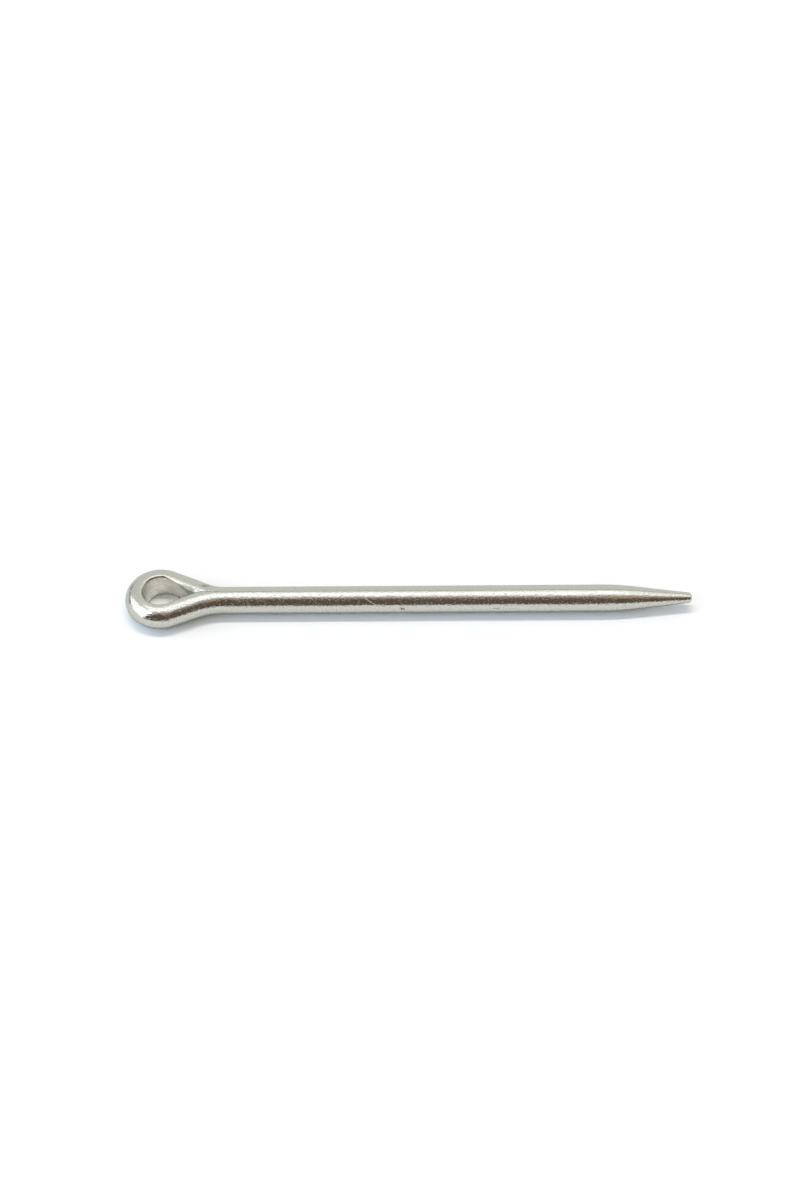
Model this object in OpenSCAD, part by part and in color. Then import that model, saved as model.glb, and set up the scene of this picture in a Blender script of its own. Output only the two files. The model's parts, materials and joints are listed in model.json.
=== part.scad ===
// Cotter pin, also called a split pin
//
// One length of half-round wire is folded back on itself. The fold is opened into an eye, and
// the two legs lie flat to flat, so that together they make a round shank with a tapered point.
//
// Frame: the shank's axis is X. The origin is at the neck, where the shank stops being straight,
// and the point is towards +X. The eye lies flat in the XY plane, and Z is up.

/* [Shank] */
// Diameter of the round shank that the two legs make together
shank_d = 4.5; // [4:0.1:5]
// Length from the neck to the end of the point
shank_l = 76.5; // [50:0.5:110]
// Gap between the flats of the two legs
slit_w = 0.08; // [0.06:0.01:0.16]
// Depth of the bevel along each edge of the slit
seam_bevel = 0.1; // [0.06:0.01:0.16]

/* [Point] */
// Length of the taper at the end of the shank
point_l = 12.1; // [10:0.1:16]
// Diameter at the end of the taper
point_d = 1.4; // [1.2:0.1:2]
// Radius that eases the shank into the taper
point_ease_r = 40; // [20:1:50]
// Rounding of the blunt end
nose_r = 0.35; // [0.2:0.01:0.45]

/* [Eye] */
// Width over the outside of the eye
eye_w = 11.5; // [11:0.1:12.4]
// Distance from the neck to the centre of the eye
eye_dist = 10.35; // [10:0.05:13]
// Sideways offset of the eye from the shank's axis
eye_offset = 0.4; // [0:0.05:0.6]
// How much deeper than half a round the wire is at the eye
flat_setback = 0.55; // [0.3:0.05:0.7]
// Rounding of the wire's edges beside its flat
edge_r = 0.4; // [0.2:0.05:0.5]

/* [Neck] */
// Bend radius of the leg on the +Y side, where it leaves the shank
left_neck_r = 7.2; // [6:0.1:9]
// Bend radius of the leg on the -Y side, where it leaves the shank
right_neck_r = 12.2; // [10:0.1:14]

/* [Hidden] */

$fn = 96;
WIRE_R = shank_d / 2;
EYE_R = eye_w / 2 - WIRE_R; // radius of the wire's centre line round the eye
REACH = eye_w; // how far a cutter extends past what it cuts
ARC_STEP = 15; // degrees between the points of a small rounding
RUN_LAP = 0.02; // how far a straight run reaches into the bend at each of its ends
RUN_INSET = 0.012; // how much smaller all round a run is than the bends, so that its ends sink in
EASE_STEPS = 4; // number of steps in the easing of the taper

// Points along an arc
function arc(centre, radius, from, to, steps) = [
    for (i = [0 : steps])
    let (a = from + (to - from) * i / steps)
    centre + radius * [cos(a), sin(a)]
];

// Angle between the shank's axis and the straight run from the neck's bend to the eye. The run is
// the line that touches both the eye's circle and the neck's circle and passes between them.
function run_angle(offset, neck_r) =
    let (rise = neck_r - offset)
    asin((EYE_R + neck_r) / norm([eye_dist, rise])) - atan2(rise, eye_dist);

LEFT_RUN = run_angle(eye_offset, left_neck_r);
RIGHT_RUN = run_angle(-eye_offset, right_neck_r);

// The crotch is where the flats of the two neck bends meet. Each flat is an arc around its own
// bend's centre on the Y axis.
LEFT_FLAT_R = left_neck_r + flat_setback;
RIGHT_FLAT_R = right_neck_r + flat_setback;
BENDS_APART = left_neck_r + right_neck_r;
CROTCH_DROP = (LEFT_FLAT_R ^ 2 - RIGHT_FLAT_R ^ 2 + BENDS_APART ^ 2) / (2 * BENDS_APART);
CROTCH = [-sqrt(LEFT_FLAT_R ^ 2 - CROTCH_DROP ^ 2), left_neck_r - CROTCH_DROP];
CROTCH_ANGLE = atan2(CROTCH.y, CROTCH.x);

POINT_START = shank_l - point_l;
POINT_ANGLE = atan2(WIRE_R - point_d / 2, point_l);
EASE_L = point_ease_r * tan(POINT_ANGLE / 2);

// Outline of the flat side of the wire's section: the flat with its two rounded edges, open wide
// on the side of the crown, where the wire's own round closes it
function flat_outline(inset) =
    let (
        centre = [edge_r - flat_setback, WIRE_R - edge_r],
        steps = 90 / ARC_STEP,
        upper = arc(centre, edge_r - inset, 90, 180, steps),
        lower = arc([centre.x, -centre.y], edge_r - inset, 180, 270, steps)
    )
    concat([[shank_d, WIRE_R - inset]], upper, lower, [[shank_d, inset - WIRE_R]]);

// Section of the wire at the eye, with its crown towards +X and its flat towards -X
module wire_section(inset = 0) {
    intersection() {
        circle(r = WIRE_R - inset);
        polygon(flat_outline(inset));
    }
}

// Half outline of the shank: straight, eased into the taper, and blunt at the end
function shank_outline() =
    let (
        ease_centre = [POINT_START - EASE_L, WIRE_R - point_ease_r],
        nose_centre_y = point_d / 2 - nose_r * (1 - sin(POINT_ANGLE)) / cos(POINT_ANGLE),
        nose_centre = [shank_l - nose_r, nose_centre_y]
    )
    concat(
        [[0, 0], [0, WIRE_R]],
        arc(ease_centre, point_ease_r, 90, 90 - POINT_ANGLE, EASE_STEPS),
        arc(nose_centre, nose_r, 90 - POINT_ANGLE, 0, round((90 - POINT_ANGLE) / ARC_STEP)),
        [[shank_l, 0]]
    );

// The round shank with its point, before it is split into the two legs
module shank() {
    rotate([0, 90, 0])
        rotate_extrude()
            rotate(-90)
                mirror([1, 0])
                    polygon(shank_outline());
}

// The slit between the legs from the neck to the end of the point
module slit() {
    translate([-REACH, -slit_w / 2, -REACH / 2])
        cube([shank_l + 2 * REACH, slit_w, REACH]);
}

// One leg from the neck's bend to the eye, on the +Y side, cut off at the slit
module neck(offset, neck_r, crotch_y) {
    run = run_angle(offset, neck_r);
    outward = [sin(run), cos(run)];
    eye_end = [-eye_dist, offset] + EYE_R * outward;
    neck_end = [0, neck_r] - neck_r * outward;
    slit_edge = [[1, slit_w / 2], [0, slit_w / 2], [CROTCH.x, crotch_y + slit_w / 2]];
    difference() {
        union() {
            translate([0, neck_r, 0])
                rotate([0, 0, -90])
                    rotate_extrude(angle = -run)
                        translate([neck_r, 0])
                            mirror([1, 0])
                                wire_section();
            translate([eye_end.x, eye_end.y, 0])
                rotate([90, 0, 90 - run])
                    translate([0, 0, -RUN_LAP])
                        linear_extrude(norm(neck_end - eye_end) + 2 * RUN_LAP)
                            wire_section(RUN_INSET);
        }
        linear_extrude(REACH, center = true)
            polygon(concat(slit_edge, [[-eye_dist, crotch_y], [-eye_dist, -REACH], [1, -REACH]]));
    }
}

// The wire round the eye, from one straight run to the other
module eye() {
    translate([-eye_dist, eye_offset, 0])
        rotate([0, 0, 90 - LEFT_RUN])
            rotate_extrude(angle = 180 + LEFT_RUN + RIGHT_RUN)
                translate([EYE_R, 0])
                    wire_section();
}

// A V groove of the given length along +X, which bevels both edges of the slit
module seam_groove(length) {
    translate([0, 0, slit_w / 2])
        rotate([0, 90, 0])
            linear_extrude(length)
                rotate(45)
                    square((slit_w + 2 * seam_bevel) / sqrt(2), center = true);
}

// The grooves on the upper side, from the crotch to the end of the point
module upper_grooves() {
    translate([0, 0, WIRE_R]) {
        rotate([0, 0, CROTCH_ANGLE])
            seam_groove(norm(CROTCH));
        seam_groove(POINT_START);
    }
    translate([POINT_START, 0, WIRE_R])
        rotate([0, POINT_ANGLE, 0])
            seam_groove(point_l + REACH);
}

module cotter_pin() {
    color("silver")
        difference() {
            union() {
                difference() {
                    shank();
                    slit();
                }
                neck(eye_offset, left_neck_r, CROTCH.y);
                mirror([0, 1, 0])
                    neck(-eye_offset, right_neck_r, -CROTCH.y);
                eye();
            }
            upper_grooves();
            mirror([0, 0, 1])
                upper_grooves();
        }
}

cotter_pin();
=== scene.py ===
"""Cotter pin: one half-round wire folded into an eye and a two-legged shank, on a pale stage."""

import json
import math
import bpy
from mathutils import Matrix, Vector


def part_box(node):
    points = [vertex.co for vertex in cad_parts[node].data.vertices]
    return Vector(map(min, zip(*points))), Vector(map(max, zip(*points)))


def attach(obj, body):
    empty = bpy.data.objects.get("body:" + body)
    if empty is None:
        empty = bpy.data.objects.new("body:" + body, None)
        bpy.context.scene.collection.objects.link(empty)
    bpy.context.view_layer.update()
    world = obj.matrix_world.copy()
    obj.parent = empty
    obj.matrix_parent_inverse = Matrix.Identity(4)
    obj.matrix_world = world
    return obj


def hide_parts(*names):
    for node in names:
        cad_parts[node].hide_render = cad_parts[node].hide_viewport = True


bl_info = {
    "name": "Cotter pin",
    "version": (1, 0, 0),
    "blender": (4, 5, 0),
    "location": "View3D > Sidebar > Cotter pin",
    "description": "Models a bright steel cotter pin and the stage it lies on",
    "category": "Add Mesh",
}

import bmesh
import bpy
from bpy.props import FloatProperty, FloatVectorProperty, PointerProperty
from mathutils import Vector

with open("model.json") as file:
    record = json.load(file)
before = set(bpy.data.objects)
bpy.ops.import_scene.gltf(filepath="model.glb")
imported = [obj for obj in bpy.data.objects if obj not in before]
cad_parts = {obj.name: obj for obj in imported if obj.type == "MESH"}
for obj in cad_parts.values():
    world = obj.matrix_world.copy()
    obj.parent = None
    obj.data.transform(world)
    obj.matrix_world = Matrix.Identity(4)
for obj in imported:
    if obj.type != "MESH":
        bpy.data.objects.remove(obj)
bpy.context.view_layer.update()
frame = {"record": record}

NODE = "cotter_pin"
LOW, HIGH = (Vector(corner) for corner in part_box(NODE))
SHANK = next(m for m in frame["record"]["mounts"] if m["name"] == "shank")["dims"]
MM = 0.001
EYE_WIDTH = HIGH.y - LOW.y


def length_property(name, description, default):
    """A size in metres with the precision of a small part."""
    return FloatProperty(
        name=name, description=description, default=default, unit="LENGTH", precision=5
    )


def colour_property(name, description, default, brightest=1):
    """A colour, or a light's colour and strength in one."""
    return FloatVectorProperty(
        name=name, description=description, default=default, subtype="COLOR", min=0, max=brightest
    )


class PinSizes(bpy.types.PropertyGroup):
    """Sizes of the pin, taken from its frame where the frame has them."""

    wire_r: length_property("Wire radius", "Radius of the wire's round side", SHANK["r_mm"] * MM)
    straight_l: length_property(
        "Straight length", "Straight part of the shank", SHANK["length_mm"] * MM
    )
    shank_l: length_property("Shank length", "From the neck to the end of the point", HIGH.x)
    point_d: length_property("Point diameter", "Diameter at the end of the taper", 1.6 * MM)
    point_l: length_property("Point length", "Length of the taper", 12.1 * MM)
    nose_r: length_property("Nose rounding", "Rounding of the blunt end", 0.55 * MM)
    eye_w: length_property("Eye width", "Width over the outside of the eye", EYE_WIDTH)
    eye_dist: length_property(
        "Eye distance", "From the neck to the centre of the eye", -LOW.x - EYE_WIDTH / 2
    )
    eye_offset: length_property(
        "Eye offset", "Offset of the eye from the shank's axis", (HIGH.y + LOW.y) / 2
    )
    left_neck_r: length_property("Left neck bend", "Neck bend radius on the +Y side", 7.2 * MM)
    right_neck_r: length_property("Right neck bend", "Neck bend radius on the -Y side", 12.2 * MM)
    flat_setback: length_property(
        "Flat setback", "How much deeper than half a round the wire is", 0.55 * MM
    )
    edge_r: length_property("Edge rounding", "Rounding beside the wire's flat", 0.4 * MM)
    slit_w: length_property("Slit", "Gap between the flats of the two legs", 0.02 * MM)
    seam_bevel: length_property("Seam bevel", "Rounding of the slit's edges", 0.05 * MM)
    flat_lean: length_property(
        "Lean of the flat", "How far the lower edge of the eye's flat lies towards the point",
        0.8 * MM,
    )
    crotch_fill: length_property(
        "Crotch fill", "How far the flats bulge towards each other at the crotch", 0.65 * MM
    )
    crotch_roll: length_property(
        "Crotch roll", "How far the flats' edges are rolled down at the crotch", 0.3 * MM
    )


class SteelFinish(bpy.types.PropertyGroup):
    """Colour and surface of the drawn steel."""

    steel: colour_property("Steel", "Colour of the bright steel", (0.575, 0.575, 0.51))
    # the flat's steel is painted far brighter than the round side's: painted light on the eye's
    # inner wall
    open_flat: colour_property("Flat", "Colour of the wire's open flat", (0.98, 0.98, 0.92))
    # the dark colour of the nicks, which also paints shade into the crotch and darkens the patch on
    # the neck
    grime_and_shade: colour_property("Grime", "Colour in small pits and marks", (0.10, 0.085, 0.06))
    edge_tint: colour_property(
        "Edge tint", "How much the steel keeps of a reflection seen edge on", (0.68, 0.69, 0.66)
    )
    polish: FloatProperty(
        name="Roughness", description="Roughness of the drawn surface", subtype="FACTOR",
        default=0.11, min=0, max=1,
    )
    grain: length_property("Grain height", "Height of the fine grain", 0.030 * MM)
    drawing: length_property(
        "Drawing line height", "Height of the lines along the wire", 0.006 * MM
    )
    swell: length_property("Swell height", "Height of the long uneven swells", 0.02 * MM)


class StudioSetup(bpy.types.PropertyGroup):
    """Camera, floor and light."""

    camera_elevation: FloatProperty(
        name="Camera elevation", description="Height of the view above the floor",
        subtype="ANGLE", default=math.radians(48.7),
    )
    camera_turn: FloatProperty(
        name="Camera turn", description="Turn of the view to the shank's square-on view",
        subtype="ANGLE", default=math.radians(0.486),
    )
    camera_distance: length_property("Camera distance", "From the camera to the pin", 0.6)
    view_height: length_property("View height", "Height of the framed field at the pin", 0.19610)
    floor: colour_property("Floor", "Colour of the floor", (0.93, 0.93, 0.93))
    key_power: FloatProperty(
        name="Key power", description="Power of the strip light", default=6.6, unit="POWER"
    )
    ambient: colour_property("Ambient", "Light from the whole room", (0.57, 0.545, 0.52))
    window: colour_property("Window", "Cool light from the left", (2.9, 3.9, 5.0), 8)


# ---------------------------------------------------------------- modelling helpers


def choose(kind, test):
    """Select only the vertices, edges or faces of the open mesh that pass the test."""
    bpy.ops.mesh.select_mode(type=kind)
    bpy.ops.mesh.select_all(action="DESELECT")
    mesh = bmesh.from_edit_mesh(bpy.context.edit_object.data)
    parts = {"VERT": mesh.verts, "EDGE": mesh.edges, "FACE": mesh.faces}[kind]
    chosen = [part for part in parts if test(part)]
    if not chosen:
        raise RuntimeError("nothing to select on " + bpy.context.edit_object.name)
    for part in chosen:
        part.select_set(True)
    mesh.select_flush_mode()
    bmesh.update_edit_mesh(bpy.context.edit_object.data)


def extrude(step):
    """Extrude what is selected by a step."""
    bpy.ops.mesh.extrude_region_move(
        TRANSFORM_OT_translate={"value": tuple(step), "orient_type": "GLOBAL"}
    )


def resize(scale, centre):
    """Scale what is selected about a point, given as one scale for each axis."""
    bpy.ops.transform.resize(
        value=tuple(scale), orient_type="GLOBAL", center_override=tuple(centre)
    )


def round_off(kind, radius, steps):
    """Round the selected VERTICES or EDGES."""
    bpy.ops.mesh.bevel(
        affect=kind, offset=radius, segments=steps, profile=0.5, clamp_overlap=False
    )


# ---------------------------------------------------------------- wire

# how finely the wire is modelled
CROWN_STEPS = 24  # facets in each quarter of the round side
EDGE_STEPS = 6  # facets in each rounded edge beside the flat
FLAT_CUTS = 9  # cuts that divide the flat
EYE_STEPS, RUN_STEPS, NECK_STEPS = 40, 12, 14  # rings along each leg from the fold to the neck
STRAIGHT_RINGS, EASE_RINGS, TAPER_RINGS, NOSE_RINGS = 8, 8, 6, 8  # rings along the shank
SEAM_STEPS = 3  # facets in the rounding of the slit's edges

# distances in millimetres
NEAR = 1e-4  # counts as none
PROBE = 0.01  # a small step that finds the way out from the wire's line
CUT_REACH = 3.0  # how far behind the crotch the cut along the slit may start
FLAT_OUT = 0.5  # the flat's vertices lie less far out from the wire's line
BULGE_FROM, BULGE_TO = -9.0, -5.2  # where the flats start to bulge, and where they bulge in full
LEAN_FROM, LEAN_TO = -6.0, -4.7  # where the flats' lean starts to fade, and where it has gone

BULGE_MIDDLE, BULGE_RISE = 0.5, 0.6  # share of the bulge half way up, and its rise from there
FLAT_UPRIGHT = 0.3  # the flat's normals point less far up or down
SMOOTH_ANGLE = math.radians(35)  # edges bent more than this stay sharp


class WirePath:
    """Plan of the folded wire in millimetres: the eye, two straight runs and two neck bends."""

    def __init__(self, sizes):
        """Read the sizes and work out where the bends meet."""
        mm = {name: getattr(sizes, name) / MM for name in PinSizes.__annotations__}
        self.size = mm
        self.wire_r = mm["wire_r"]
        self.eye_r = mm["eye_w"] / 2 - self.wire_r
        self.eye_dist = mm["eye_dist"]
        self.offset = mm["eye_offset"]
        self.neck_r = {1: mm["left_neck_r"], -1: mm["right_neck_r"]}
        self.run = {side: self.run_angle(side) for side in (1, -1)}
        left, right = (self.neck_r[side] + mm["flat_setback"] for side in (1, -1))
        apart = self.neck_r[1] + self.neck_r[-1]
        drop = (left**2 - right**2 + apart**2) / (2 * apart)
        self.crotch = Vector((-math.sqrt(left**2 - drop**2), self.neck_r[1] - drop, 0))

    def eye_centre(self, side):
        """Centre of the eye for a leg that is drawn on the +Y side."""
        return Vector((-self.eye_dist, side * self.offset, 0))

    def run_angle(self, side):
        """Angle of the straight run to the shank's axis."""
        rise = self.neck_r[side] - side * self.offset
        reach = math.hypot(self.eye_dist, rise)
        return math.asin((self.eye_r + self.neck_r[side]) / reach) - math.atan2(rise, self.eye_dist)

    def ends(self, side):
        """Both ends of the straight run of a leg that is drawn on the +Y side."""
        run = self.run[side]
        outward = Vector((math.sin(run), math.cos(run), 0))
        eye_end = self.eye_centre(side) + self.eye_r * outward
        neck_end = Vector((0, self.neck_r[side], 0)) - self.neck_r[side] * outward
        return eye_end, neck_end

    def side_of(self, x, y):
        """Which leg a point belongs to: 1 on the +Y side, -1 on the -Y side."""
        if x > 0:
            parting = 0
        elif x > self.crotch.x:
            parting = self.crotch.y * x / self.crotch.x
        else:
            share = min((self.crotch.x - x) / (self.crotch.x + self.eye_dist), 1)
            parting = self.crotch.y + (self.offset - self.crotch.y) * share
        return 1 if y > parting else -1

    def place(self, x, y):
        """Distance along the wire from the fold, and distance out from the wire's line."""
        side = self.side_of(x, y)
        s, out = self.leg_place(side, x, side * y)
        return side * s, out

    def leg_place(self, side, x, y):
        """The same for a leg that is drawn on the +Y side."""
        run = self.run[side]
        centre_y = side * self.offset
        eye_end, neck_end = self.ends(side)
        along = Vector((math.cos(run), -math.sin(run), 0))
        arc_l = self.eye_r * (math.pi / 2 + run)
        run_l = (neck_end - eye_end).length
        neck_l = self.neck_r[side] * run
        past_eye = (Vector((x, y, 0)) - eye_end).dot(along)
        if x > 0:
            s, out = arc_l + run_l + neck_l + x, y
        elif past_eye > run_l:
            angle = math.atan2(-x, self.neck_r[side] - y)
            s = arc_l + run_l + neck_l - self.neck_r[side] * angle
            out = self.neck_r[side] - math.hypot(x, self.neck_r[side] - y)
        elif past_eye > 0:
            s = arc_l + past_eye
            normal = Vector((math.sin(run), math.cos(run), 0))
            out = (Vector((x, y, 0)) - eye_end).dot(normal)
        else:
            angle = math.pi - math.atan2(y - centre_y, x + self.eye_dist)
            s = self.eye_r * angle
            out = math.hypot(x + self.eye_dist, y - centre_y) - self.eye_r
        return s, out

    def shank_rings(self):
        """Rings of the shank as pairs of x and radius, from the neck to the blunt end."""
        mm, wire_r = self.size, self.wire_r
        ease_x = mm["straight_l"]
        rings = [(ease_x * i / STRAIGHT_RINGS, wire_r) for i in range(1, STRAIGHT_RINGS + 1)]

        # the curve that eases the shank into its taper
        slope = math.atan2(wire_r - mm["point_d"] / 2, mm["point_l"])
        taper_x = mm["shank_l"] - mm["point_l"]
        ease_r = (taper_x - ease_x) / math.tan(slope / 2)
        for i in range(1, EASE_RINGS + 1):
            a = slope * i / EASE_RINGS
            rings.append((ease_x + ease_r * math.sin(a), wire_r - ease_r * (1 - math.cos(a))))

        # the straight taper, up to the blunt end's rounding
        nose_r = mm["nose_r"]
        nose_y = mm["point_d"] / 2 - nose_r * (1 - math.sin(slope)) / math.cos(slope)
        nose_x = mm["shank_l"] - nose_r
        x0, r0 = rings[-1]
        x1, r1 = nose_x + nose_r * math.sin(slope), nose_y + nose_r * math.cos(slope)
        rings += [
            (x0 + (x1 - x0) * i / TAPER_RINGS, r0 + (r1 - r0) * i / TAPER_RINGS)
            for i in range(1, TAPER_RINGS)
        ]

        # the rounding of the blunt end
        for i in range(NOSE_RINGS + 1):
            a = slope + (math.pi / 2 - slope) * i / NOSE_RINGS
            rings.append((nose_x + nose_r * math.sin(a), nose_y + nose_r * math.cos(a)))
        return rings


def ease(value, low, high):
    """Rise smoothly from 0 to 1 while the value goes from low to high."""
    share = min(max((value - low) / (high - low), 0), 1)
    return share * share * (3 - 2 * share)


def draw_section(path, side):
    """Draw the wire's section where the wire folds, as a ring of edges, and return its object."""
    mm, wire_r = path.size, path.wire_r
    centre = path.eye_centre(side)
    crown_x = centre.x - path.eye_r - wire_r
    flat_x = centre.x - path.eye_r + mm["flat_setback"]
    middle = Vector(((crown_x + flat_x) / 2, centre.y, 0))
    bpy.ops.object.select_all(action="DESELECT")
    bpy.ops.mesh.primitive_plane_add(size=1, location=middle, rotation=(math.pi / 2, 0, 0))
    leg = bpy.context.object
    leg.name = "wire_leg_left" if side > 0 else "wire_leg_right"
    bpy.ops.object.transform_apply(location=True, rotation=True, scale=True)
    bpy.ops.object.mode_set(mode="EDIT")
    bpy.ops.mesh.select_all(action="SELECT")
    resize((flat_x - crown_x, 1, 2 * wire_r), middle)
    choose("VERT", lambda v: v.co.x < middle.x)
    round_off("VERTICES", wire_r, CROWN_STEPS)
    choose("VERT", lambda v: v.co.x > flat_x - NEAR)
    round_off("VERTICES", mm["edge_r"], EDGE_STEPS)
    bpy.ops.mesh.select_all(action="SELECT")
    bpy.ops.mesh.remove_doubles(threshold=NEAR)
    choose("EDGE", lambda e: all(v.co.x > flat_x - NEAR for v in e.verts))
    bpy.ops.mesh.subdivide(number_cuts=FLAT_CUTS)
    choose("FACE", lambda f: True)
    bpy.ops.mesh.delete(type="ONLY_FACE")
    return leg


def sweep_bends(path, side):
    """Sweep the section round the eye, along the straight run and through the neck's bend."""
    run = path.run[side]
    eye_end, neck_end = path.ends(side)
    bpy.ops.mesh.select_mode(type="EDGE")
    bpy.ops.mesh.select_all(action="SELECT")
    bpy.ops.mesh.spin(
        steps=EYE_STEPS, angle=math.pi / 2 + run, center=path.eye_centre(side), axis=(0, 0, 1)
    )
    for _ in range(RUN_STEPS):
        extrude((neck_end - eye_end) / RUN_STEPS)
    bpy.ops.mesh.spin(
        steps=NECK_STEPS, angle=-run, center=(0, path.neck_r[side], 0), axis=(0, 0, 1)
    )


def shape_flats(path, side):
    """Lean the eye's flat, bulge it inwards towards the crotch, and roll its edges down there."""
    mm = path.size
    mesh = bmesh.from_edit_mesh(bpy.context.edit_object.data)
    for vert in mesh.verts:
        x, y, z = vert.co
        out = path.leg_place(side, x, y)[1]
        inward = min(max(-out / mm["flat_setback"], 0), 1)
        if not inward:
            continue
        height = z / path.wire_r
        outward = Vector((
            path.leg_place(side, x + PROBE, y)[1] - out,
            path.leg_place(side, x, y + PROBE)[1] - out,
            0,
        )).normalized()
        by_crotch = ease(x, BULGE_FROM, BULGE_TO)
        bulge = by_crotch * inward * min(BULGE_MIDDLE + BULGE_RISE * height, 1)
        vert.co -= outward * (bulge * mm["crotch_fill"])
        vert.co.z = z * (1 - by_crotch * inward**2 * mm["crotch_roll"] / path.wire_r)
        lean = inward * (1 - height) / 2 * (1 - ease(x, LEAN_FROM, LEAN_TO))
        vert.co.x += lean * mm["flat_lean"]
    bmesh.update_edit_mesh(bpy.context.edit_object.data)


def cut_slit(path, side):
    """Cut the leg off along the slit, from the crotch to the neck, and wall up the cut."""
    on_slit = Vector((0, path.size["slit_w"] / 2, 0))
    across = Vector((side * path.crotch.y, -path.crotch.x, 0)).normalized()
    cut_from = path.crotch.x - CUT_REACH
    choose("FACE", lambda f: f.calc_center_median().x > cut_from)
    bpy.ops.mesh.bisect(plane_co=on_slit, plane_no=across, clear_inner=True, threshold=NEAR / 10)

    def on_wall(vert):
        """Whether a vertex lies in the cut."""
        near_plane = abs((vert.co - on_slit).dot(across)) < NEAR
        return near_plane and vert.co.x > cut_from

    # an edge closes the section at the neck, and then a face walls up the whole cut
    choose("VERT", lambda v: on_wall(v) and abs(v.co.x) < NEAR)
    bpy.ops.mesh.edge_face_add()
    choose("EDGE", lambda e: len(e.link_faces) < 2 and all(on_wall(v) for v in e.verts))
    bpy.ops.mesh.edge_face_add()
    choose("EDGE", lambda e: len(e.link_faces) == 2 and all(on_wall(v) for v in e.verts))
    round_off("EDGES", path.size["seam_bevel"], SEAM_STEPS)


def draw_shank(path):
    """Draw the shank out from the neck, ring by ring, and close its blunt end."""
    choose("EDGE", lambda e: len(e.link_faces) < 2 and all(abs(v.co.x) < NEAR for v in e.verts))
    x, r = 0, path.wire_r
    for next_x, next_r in path.shank_rings():
        extrude((next_x - x, 0, 0))
        if abs(next_r - r) > NEAR:
            resize((1, next_r / r, next_r / r), (next_x, path.size["slit_w"] / 2, 0))
        x, r = next_x, next_r
    bpy.ops.mesh.edge_face_add()


def model_leg(path, side):
    """Model one leg on the +Y side, from the fold to the blunt end, and turn it to its side."""
    leg = draw_section(path, side)
    sweep_bends(path, side)
    shape_flats(path, side)
    cut_slit(path, side)
    draw_shank(path)
    if side < 0:
        bpy.ops.mesh.select_all(action="SELECT")
        resize((1, -1, 1), (0, 0, 0))
    bpy.ops.object.mode_set(mode="OBJECT")
    return leg


def mark_wire_run(piece, path):
    """Store on each vertex its place along the wire, out from its line and up, in metres.

    A second attribute is one on the wire's open flat and zero elsewhere.
    """
    mesh = piece.data
    runs, flats = [], []
    for vert in mesh.vertices:
        s, out = path.place(vert.co.x / MM, vert.co.y / MM)
        runs += [s * MM, out * MM, vert.co.z]
        in_eye = out < FLAT_OUT and vert.co.x < path.crotch.x * MM
        flats.append(float(in_eye and abs(vert.normal.z) < FLAT_UPRIGHT))
    mesh.attributes.new("wire_run", "FLOAT_VECTOR", "POINT").data.foreach_set("vector", runs)
    mesh.attributes.new("open_flat", "FLOAT", "POINT").data.foreach_set("value", flats)


# ---------------------------------------------------------------- materials


def solid(colour):
    """A colour with full cover, as a shader's socket takes it."""
    return (*colour, 1)


class Tree:
    """A short way to add and join shader nodes."""

    def __init__(self, tree):
        """Start with an empty tree."""
        self.tree = tree
        tree.nodes.clear()

    def add(self, kind, inputs=None, **settings):
        """Add a node, set it up and join or fill its inputs."""
        node = self.tree.nodes.new(kind)
        for name, value in settings.items():
            setattr(node, name, value)
        for name, value in (inputs or {}).items():
            if isinstance(value, bpy.types.NodeSocket):
                self.tree.links.new(value, node.inputs[name])
            else:
                node.inputs[name].default_value = value
        return node

    def math(self, operation, a, b=0.0, clamp=False):
        """A Math node's result."""
        return self.add(
            "ShaderNodeMath", {0: a, 1: b}, operation=operation, use_clamp=clamp
        ).outputs[0]

    def chain(self, operation, value, *others):
        """The result of Math nodes that take up one value after another."""
        for other in others:
            value = self.math(operation, value, other)
        return value

    def vector(self, operation, a, b=(0, 0, 0)):
        """A Vector Math node."""
        return self.add("ShaderNodeVectorMath", {0: a, 1: b}, operation=operation)

    def fit(self, value, low, high, to_low=0.0, to_high=1.0, smooth=True):
        """A value moved from one range to another and kept inside it."""
        ends = {"From Min": low, "From Max": high, "To Min": to_low, "To Max": to_high}
        node = self.add(
            "ShaderNodeMapRange", {"Value": value, **ends},
            interpolation_type="SMOOTHSTEP" if smooth else "LINEAR",
        )
        return node.outputs["Result"]

    def noise(self, coordinates, per_metre, detail, roughness):
        """Noise with its own number of features per metre along each axis."""
        mapping = self.add("ShaderNodeMapping", {"Vector": coordinates, "Scale": per_metre})
        node = self.add(
            "ShaderNodeTexNoise",
            {"Vector": mapping.outputs[0], "Scale": 1.0, "Detail": detail, "Roughness": roughness},
        )
        return node.outputs[0]

    def mix(self, factor, a, b):
        """A colour between two others, in the sockets that the node keeps for colours."""
        node = self.add("ShaderNodeMix", {0: factor, 6: a, 7: b}, data_type="RGBA")
        return node.outputs[2]

    def line_mark(self, place, start, end, half_width):
        """A mask that is one on a line from start to end, seen along Y, on the -Y side."""
        start, end = Vector(start) * MM, Vector(end) * MM
        span = end - start
        flat = self.vector("MULTIPLY", place, (1, 0, 1)).outputs[0]
        reach = self.vector("SUBTRACT", flat, start).outputs[0]
        share = self.vector("DOT_PRODUCT", reach, span / span.length_squared).outputs["Value"]
        share = self.math("ADD", share, 0.0, clamp=True)
        foot = self.add("ShaderNodeVectorMath", {0: span, "Scale": share}, operation="SCALE")
        away = self.vector("DISTANCE", reach, foot.outputs[0]).outputs["Value"]
        mask = self.fit(away, half_width * MM, half_width * MM * MARK_CORE)
        depth = self.add("ShaderNodeSeparateXYZ", {0: place}).outputs["Y"]
        return self.math("MULTIPLY", mask, self.math("LESS_THAN", depth, 0.0))


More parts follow.
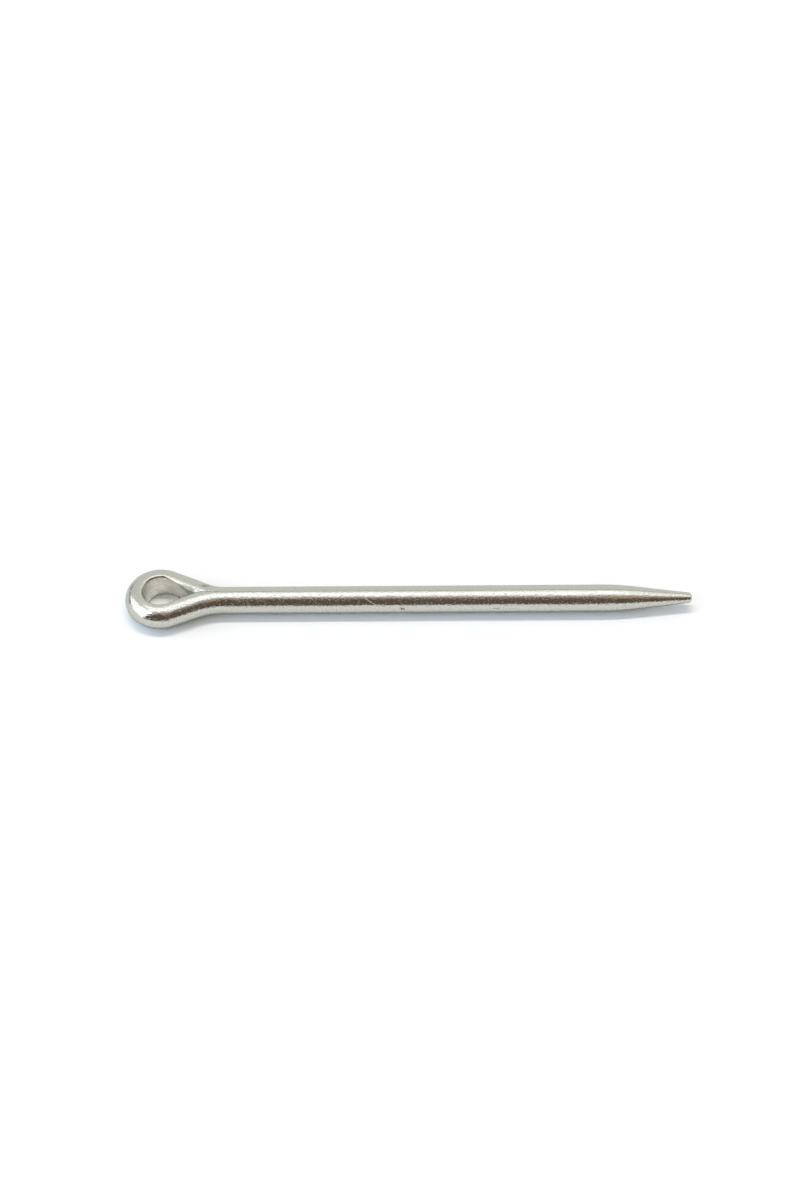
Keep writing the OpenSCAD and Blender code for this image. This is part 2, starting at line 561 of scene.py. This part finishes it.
# noise over the wire: features per metre along it, out from its line and up, detail, roughness
SWELL_NOISE = ((140, 700, 700), 1.0, 0.5)
LINE_NOISE = ((260, 3600, 3600), 2.0, 0.6)
GRAIN_NOISE = ((2400, 3800, 3800), 1.0, 0.6)
SPECK_NOISE = ((3000, 4600, 4600), 1.0, 0.5)
BLOTCH_NOISE = ((500, 1100, 1100), 2.0, 0.5)
BRUSH_NOISE = ((160, 2600, 2600), 3.0, 0.6)

# the range of each noise over which it takes effect
SPECK_RANGE, SPECK_ROUGH_RANGE = (0.35, 0.7), (0.52, 0.72)
BLOTCH_RANGE, BRUSH_RANGE = (0.3, 0.75), (0.3, 0.7)

# marks seen from the -Y side: each runs from one point to another, with its half width, in mm
SCRATCH = ((23.15, 0, 1.88), (24.85, 0, 0.98), 0.055)
NICKS = (
    ((28.98, 0, 0.42), (29.10, 0, 0.06), 0.15),
    ((29.28, 0, 0.36), (29.52, 0, 0.10), 0.14),
    ((44.05, 0, 0.20), (44.30, 0, 0.27), 0.09),
    ((44.55, 0, 0.18), (44.95, 0, 0.27), 0.09),
)
MARK_CORE = 0.4  # share of its half width where a mark is in full

# the darker patch on the outside of the neck: its middle and its reach along each axis, in mm
NECK_PATCH_MIDDLE, NECK_PATCH_REACH = (-3.0, 1.35, 2.1), (1.1, 0.5, 0.5)
NECK_PATCH_FADE = (1.0, 0.2)  # the shares of its reach where it starts and where it is in full

# the painted shade deep in the crotch, where the flats face each other: where it starts and where
# it is in full, in metres
CROTCH_SHADE_OUT = (-0.60 * MM, -0.75 * MM)  # out from the wire's line
CROTCH_SHADE_RISE = (-5.7 * MM, -5.0 * MM)  # along the pin, further back the higher it is
CROTCH_SHADE_SLANT = 1.22
CROTCH_SHADE_END = (-4.4 * MM, -5.0 * MM)  # along the pin

# near the fold the flat is left plain, and so lighter
BRUSHED_FROM = (2.5 * MM, 5.0 * MM)  # past the fold, where the brushing starts and is in full

# how much each thing darkens the steel, as a share of the way to what it is mixed with
SPECK_SHADE, BRUSH_SHADE, CROTCH_SHADE_DEPTH, NECK_PATCH_DEPTH = 0.18, 0.35, 0.56, 0.5
SHADED = 0.5  # brightness of fully shaded steel

# how much rougher each thing makes the steel
BLOTCH_ROUGH = (-0.03, 0.05)
SPECK_ROUGH, FLAT_ROUGH, CROTCH_SHADE_ROUGH, SCRATCH_ROUGH, NICK_ROUGH = 0.32, 0.25, 0.4, 0.5, 0.4

FLAT_GRAIN = 0.3  # share of the grain's height that the flat has
BRUSH_DEPTH, SCRATCH_DEPTH, NICK_DEPTH = 0.02 * MM, 0.02 * MM, 0.01 * MM


def mask_crotch_shade_and_patch(t, place, out):
    """Masks of the painted shade deep in the crotch and of the darker patch on the outside of the
    neck.
    """
    axes = t.add("ShaderNodeSeparateXYZ", {0: place})
    along, up = axes.outputs["X"], axes.outputs["Z"]
    slanted = t.math("ADD", along, t.math("MULTIPLY", up, CROTCH_SHADE_SLANT))
    darkening = t.chain(
        "MULTIPLY", t.fit(out, *CROTCH_SHADE_OUT), t.fit(slanted, *CROTCH_SHADE_RISE, 0.0, CROTCH_SHADE_DEPTH),
        t.fit(along, *CROTCH_SHADE_END),
    )
    reach = t.vector("SUBTRACT", place, Vector(NECK_PATCH_MIDDLE) * MM).outputs[0]
    reach = t.vector("DIVIDE", reach, Vector(NECK_PATCH_REACH) * MM).outputs[0]
    away = t.vector("LENGTH", reach).outputs["Value"]
    return darkening, t.fit(away, *NECK_PATCH_FADE, 0.0, NECK_PATCH_DEPTH)


def make_steel(finish):
    """Bright drawn steel: lines along the wire, fine grain, rougher flats painted brighter as
    painted light, painted shade in the crotch, a darker patch on the neck and handling marks.
    """
    material = bpy.data.materials.new("bright_steel_finish")
    material.use_nodes = True
    t = Tree(material.node_tree)
    wire = t.add("ShaderNodeAttribute", attribute_name="wire_run").outputs["Vector"]
    flat = t.add("ShaderNodeAttribute", attribute_name="open_flat").outputs["Fac"]
    place = t.add("ShaderNodeTexCoord").outputs["Object"]
    run = t.add("ShaderNodeSeparateXYZ", {0: wire})
    from_fold, out = t.math("ABSOLUTE", run.outputs["X"]), run.outputs["Y"]

    swell = t.noise(wire, *SWELL_NOISE)
    lines = t.noise(wire, *LINE_NOISE)
    grain = t.noise(wire, *GRAIN_NOISE)
    speck = t.noise(wire, *SPECK_NOISE)
    blotch = t.noise(wire, *BLOTCH_NOISE)
    brushed = t.noise(wire, *BRUSH_NOISE)

    # painted shade deep in the crotch, and a darker patch on the outside of the neck
    crotch_shade, neck_patch = mask_crotch_shade_and_patch(t, place, out)
    scratch = t.line_mark(place, *SCRATCH)
    nick = t.chain("MAXIMUM", *(t.line_mark(place, *line) for line in NICKS))
    # the nicks are real marks; with them go the crotch's painted shade and the neck's darker patch
    darkening = t.math("MAXIMUM", nick, t.math("MAXIMUM", crotch_shade, neck_patch))

    # the flat is brushed past the fold and left plain, and so lighter, round it
    brushing = t.chain(
        "MULTIPLY", flat, t.fit(from_fold, *BRUSHED_FROM),
        t.fit(brushed, *BRUSH_RANGE, 0.0, BRUSH_SHADE, smooth=False),
    )
    specks = t.fit(speck, *SPECK_RANGE, 0.0, SPECK_SHADE, smooth=False)
    shade = t.math("ADD", specks, brushing)
    # the flat is painted brighter than the round side, as painted light on the eye's inner wall
    bright = t.mix(flat, solid(finish.steel), solid(finish.open_flat))
    colour = t.mix(shade, bright, solid(SHADED * part for part in finish.steel))
    # the nicks, the crotch's painted shade and the neck's darker patch take the dark colour
    colour = t.mix(darkening, colour, solid(finish.grime_and_shade))

    blotches = t.fit(blotch, *BLOTCH_RANGE, *BLOTCH_ROUGH, smooth=False)
    rough = t.chain(
        "ADD", finish.polish, blotches, t.fit(speck, *SPECK_ROUGH_RANGE, 0.0, SPECK_ROUGH)
    )
    for mask, amount in ((flat, FLAT_ROUGH), (crotch_shade, CROTCH_SHADE_ROUGH),
                         (scratch, SCRATCH_ROUGH), (nick, NICK_ROUGH)):
        rough = t.math("ADD", rough, t.math("MULTIPLY", mask, amount), clamp=True)

    grain = t.math("MULTIPLY", grain, t.fit(flat, 0.0, 1.0, 1.0, FLAT_GRAIN))
    normal = None
    for height, size in ((swell, finish.swell), (lines, finish.drawing), (grain, finish.grain),
                         (t.math("MULTIPLY", flat, brushed), BRUSH_DEPTH),
                         (t.math("SUBTRACT", 1.0, scratch), SCRATCH_DEPTH),
                         (t.math("SUBTRACT", 1.0, nick), NICK_DEPTH)):
        inputs = {"Strength": 1.0, "Distance": size, "Height": height}
        if normal:
            inputs["Normal"] = normal
        normal = t.add("ShaderNodeBump", inputs).outputs["Normal"]

    shader = t.add(
        "ShaderNodeBsdfPrincipled",
        {"Base Color": colour, "Metallic": 1.0, "Roughness": rough, "Normal": normal,
         "Specular Tint": solid(finish.edge_tint)},
    )
    t.add("ShaderNodeOutputMaterial", {"Surface": shader.outputs[0]})
    return material


def make_floor(colour):
    """Matt pale floor that keeps the shadow."""
    material = bpy.data.materials.new("pale_floor")
    material.use_nodes = True
    t = Tree(material.node_tree)
    shader = t.add(
        "ShaderNodeBsdfPrincipled",
        {"Base Color": solid(colour), "Roughness": 1.0, "Specular IOR Level": 0.0},
    )
    t.add("ShaderNodeOutputMaterial", {"Surface": shader.outputs[0]})
    return material


# ---------------------------------------------------------------- stage

# colour of the room at each angle in degrees, from the front horizon over the ceiling to the back
ROOM = (
    (0, (0.145, 0.112, 0.094)),
    (36, (0.150, 0.115, 0.096)),
    (46, (0.145, 0.111, 0.093)),
    (54, (0.158, 0.122, 0.104)),
    (62, (0.36, 0.305, 0.27)),
    (70, (0.74, 0.69, 0.65)),
    (76, (1.0, 0.97, 0.95)),
    (82, (1.88, 1.88, 2.05)),
    (108, (1.88, 1.88, 2.05)),
    (118, (1.05, 1.06, 1.03)),
    (125, (0.90, 0.92, 0.89)),
    (136, (0.88, 0.905, 0.88)),
    (150, (0.90, 0.925, 0.91)),
    (165, (0.95, 0.98, 0.98)),
    (180, (1.0, 1.0, 1.0)),
)

# what else the steel reflects: the colour of each thing, and its edges as pairs of where it
# starts and where it is in full, mostly as x, y or z of a direction one long
PANEL_END_COLOUR = (1.15, 1.14, 1.08)
PANEL_END_X, PANEL_END_Y = (0.25, 0.30), (-0.12, -0.02)
GLOW_COLOUR = (0.62, 0.44, 0.35)
GLOW_LEFT, GLOW_RIGHT = (0.045, 0.065), (0.40, 0.30)
GLOW_LOW, GLOW_HIGH = (0.22, 0.30), (0.40, 0.35)  # in half turns from the front horizon
GLOW_REST = 0.12  # share of the glow that is left on the right
WALL_COLOUR, WALL_X = (0.85, 0.87, 0.88), (0.30, 0.40)
CORNER, CORNER_SLANT = (0.86, 0.92), 0.27  # in radians round from the front
WINDOW_COLOUR = (2.0, 2.05, 2.1)
WINDOW_TOP, TOP_SLANT = (0.44, 0.52), -0.6
WINDOW_SILL, SILL_SLANT = (0.13, 0.20), -0.28
SKIRTING_COLOUR = (0.22, 0.27, 0.27)
SKIRTING_LEFT, SKIRTING_Y, SKIRTING_Z = (0.5, 0.6), (0.15, 0.3), (0.24, 0.17)
WINDOW_LIGHT_Z = (0.70, 0.50)  # the window's soft light comes from below this height


def light_room(ambient, window_light):
    """A white room with a bright ceiling panel, a dark front and a window on the left."""
    world = bpy.data.worlds.new("studio_room")
    bpy.context.scene.world = world
    world.use_nodes = True
    t = Tree(world.node_tree)
    ray = t.add("ShaderNodeLightPath")
    direction = t.add("ShaderNodeTexCoord").outputs["Generated"]
    axes = t.add("ShaderNodeSeparateXYZ", {0: direction})
    x, y, z = (axes.outputs[name] for name in "XYZ")
    front = t.math("MULTIPLY", y, -1.0)
    left = t.math("MULTIPLY", x, -1.0)
    turn = t.math("DIVIDE", t.math("ARCTAN2", z, front), math.pi)
    ramp = t.add("ShaderNodeValToRGB", {"Fac": turn})
    colours = ramp.color_ramp.elements
    while len(colours) < len(ROOM):
        colours.new(0.5)
    for element, (degrees, colour) in zip(colours, ROOM):
        element.position = degrees / 180
        element.color = solid(colour)

    # the ceiling panel ends on the right, and a warm glow lies between it and the dark front
    panel_end = t.math("MULTIPLY", t.fit(x, *PANEL_END_X), t.fit(y, *PANEL_END_Y))
    room = t.mix(panel_end, ramp.outputs["Color"], solid(PANEL_END_COLOUR))
    glow = t.chain(
        "MULTIPLY", t.fit(x, *GLOW_LEFT), t.fit(turn, *GLOW_LOW), t.fit(turn, *GLOW_HIGH),
        t.fit(x, *GLOW_RIGHT, GLOW_REST, 1.0),
    )
    room = t.mix(glow, room, solid(GLOW_COLOUR))

    # past a slanted corner on the left stands a pale wall with the window in it
    corner = t.add(
        "ShaderNodeMath", {0: z, 1: CORNER_SLANT, 2: t.math("ARCTAN2", left, front)},
        operation="MULTIPLY_ADD",
    ).outputs[0]
    past_corner = t.fit(corner, *CORNER)
    wall = t.math("MULTIPLY", t.fit(left, *WALL_X), past_corner)
    room = t.mix(wall, room, solid(WALL_COLOUR))
    top = t.math("ADD", left, t.math("MULTIPLY", y, TOP_SLANT))
    sill = t.math("ADD", z, t.math("MULTIPLY", y, SILL_SLANT))
    window = t.chain(
        "MULTIPLY", t.fit(top, *WINDOW_TOP), t.fit(sill, *WINDOW_SILL), past_corner
    )
    room = t.mix(window, room, solid(WINDOW_COLOUR))
    skirting = t.chain(
        "MULTIPLY", t.fit(left, *SKIRTING_LEFT), t.fit(y, *SKIRTING_Y), t.fit(z, *SKIRTING_Z)
    )
    room = t.mix(skirting, room, solid(SKIRTING_COLOUR))

    # glossy rays see the room, the camera sees white, and the rest is the soft light
    low_window = t.math("MULTIPLY", window, t.fit(z, *WINDOW_LIGHT_Z))
    soft = t.mix(low_window, solid(ambient), solid(window_light))
    colour = t.mix(ray.outputs["Is Glossy Ray"], soft, room)
    colour = t.mix(ray.outputs["Is Camera Ray"], colour, (1, 1, 1, 1))
    background = t.add("ShaderNodeBackground", {"Color": colour, "Strength": 1.0})
    t.add("ShaderNodeOutputWorld", {"Surface": background.outputs[0]})


FLOOR_SIZE = 4.0  # in metres, as the lengths below
KEY_LEAN = math.radians(12)  # how far behind the pin the strip light hangs, as an angle
KEY_X, KEY_DISTANCE = 0.03, 1.2
KEY_LENGTH, KEY_WIDTH = 1.0, 0.05
KEY_COLOUR = (1.0, 0.94, 0.87)
VIEW_X, VIEW_DROP = 0.02880, 0.00008  # the view's middle: along the pin, and below its axis
SENSOR_MM = 36
CLIP_FROM, CLIP_TO = 0.01, 20


def lay_floor(colour):
    """Lay the floor under the pin."""
    bpy.ops.object.select_all(action="DESELECT")
    bpy.ops.mesh.primitive_plane_add(size=FLOOR_SIZE, location=(0, 0, LOW.z))
    floor = bpy.context.object
    floor.name = "floor"
    floor.data.materials.append(make_floor(colour))


def hang_key_light(power):
    """Hang the strip light over the pin."""
    place = Vector((KEY_X, KEY_DISTANCE * math.sin(KEY_LEAN), KEY_DISTANCE * math.cos(KEY_LEAN)))
    bpy.ops.object.light_add(type="AREA", location=place, rotation=(-KEY_LEAN, 0, 0))
    key = bpy.context.object
    key.name = "key_strip"
    key.data.shape = "RECTANGLE"
    key.data.size, key.data.size_y = KEY_LENGTH, KEY_WIDTH
    key.data.energy = power
    key.data.color = KEY_COLOUR
    key.visible_glossy = False


def stand_camera(up, turn, distance, view_height):
    """Stand the camera before the pin, at its height above the floor and its turn."""
    toward = Vector((
        -math.cos(up) * math.sin(turn), -math.cos(up) * math.cos(turn), math.sin(up)
    ))
    upward = Vector((math.sin(up) * math.sin(turn), math.sin(up) * math.cos(turn), math.cos(up)))
    aim = Vector((VIEW_X, 0, 0)) - upward * VIEW_DROP
    bpy.ops.object.camera_add(location=aim + toward * distance)
    camera = bpy.context.object
    camera.name = "camera"
    camera.rotation_euler = toward.to_track_quat("Z", "Y").to_euler()
    camera.data.sensor_width = SENSOR_MM
    camera.data.lens = SENSOR_MM * distance / view_height
    camera.data.clip_start, camera.data.clip_end = CLIP_FROM, CLIP_TO
    bpy.context.scene.camera = camera


# ---------------------------------------------------------------- operators


class COTTERPIN_OT_wire(bpy.types.Operator):
    """Model the pin's wire and give it its steel"""

    bl_idname = "cotterpin.wire"
    bl_label = "Make the pin's wire"

    def execute(self, context):
        """Model both legs, join them at the fold and finish the surface."""
        scene = context.scene
        path = WirePath(scene.pin_sizes)
        legs = [model_leg(path, side) for side in (1, -1)]
        bpy.ops.object.select_all(action="DESELECT")
        for leg in legs:
            leg.select_set(True)
        context.view_layer.objects.active = legs[0]
        bpy.ops.object.join()
        piece = context.object
        piece.name = piece.data.name = "pin_wire"
        bpy.ops.object.mode_set(mode="EDIT")
        bpy.ops.mesh.select_all(action="SELECT")
        bpy.ops.mesh.remove_doubles(threshold=10 * NEAR)
        bpy.ops.mesh.normals_make_consistent(inside=False)
        resize((MM, MM, MM), (0, 0, 0))
        bpy.ops.object.mode_set(mode="OBJECT")
        bpy.ops.object.shade_smooth_by_angle(angle=SMOOTH_ANGLE)
        mark_wire_run(piece, path)
        piece.data.materials.clear()
        piece.data.materials.append(make_steel(scene.steel_finish))
        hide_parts(NODE)
        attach(piece, "root")
        return {"FINISHED"}


class COTTERPIN_OT_stage(bpy.types.Operator):
    """Lay the floor and set up the light and the camera"""

    bl_idname = "cotterpin.stage"
    bl_label = "Set the stage"

    def execute(self, context):
        """Add the floor, the strip light, the room and the camera."""
        setup = context.scene.studio_setup
        lay_floor(setup.floor)
        hang_key_light(setup.key_power)
        light_room(setup.ambient, setup.window)
        stand_camera(
            setup.camera_elevation, setup.camera_turn, setup.camera_distance, setup.view_height
        )
        context.scene.view_settings.view_transform = "Standard"
        return {"FINISHED"}


class COTTERPIN_PT_panel(bpy.types.Panel):
    """Sidebar panel with the pin's sizes, its finish and the stage"""

    bl_label = "Cotter pin"
    bl_space_type = "VIEW_3D"
    bl_region_type = "UI"
    bl_category = "Cotter pin"

    def draw(self, context):
        """List the operators and the settings."""
        layout = self.layout
        for operator in (COTTERPIN_OT_wire, COTTERPIN_OT_stage):
            layout.operator(operator.bl_idname)
        for name, group in (("pin_sizes", PinSizes), ("steel_finish", SteelFinish),
                            ("studio_setup", StudioSetup)):
            column = layout.column()
            for setting in group.__annotations__:
                column.prop(getattr(context.scene, name), setting)


CLASSES = (
    PinSizes, SteelFinish, StudioSetup, COTTERPIN_OT_wire, COTTERPIN_OT_stage, COTTERPIN_PT_panel,
)


def register():
    """Register the classes and their settings."""
    for cls in CLASSES:
        bpy.utils.register_class(cls)
    bpy.types.Scene.pin_sizes = PointerProperty(type=PinSizes)
    bpy.types.Scene.steel_finish = PointerProperty(type=SteelFinish)
    bpy.types.Scene.studio_setup = PointerProperty(type=StudioSetup)


def unregister():
    """Take the settings and the classes away again."""
    del bpy.types.Scene.pin_sizes
    del bpy.types.Scene.steel_finish
    del bpy.types.Scene.studio_setup
    for cls in reversed(CLASSES):
        bpy.utils.unregister_class(cls)


def main():
    """Make the pin and its stage."""
    register()
    bpy.ops.cotterpin.wire()
    bpy.ops.cotterpin.stage()


if __name__ == "__main__":
    main()
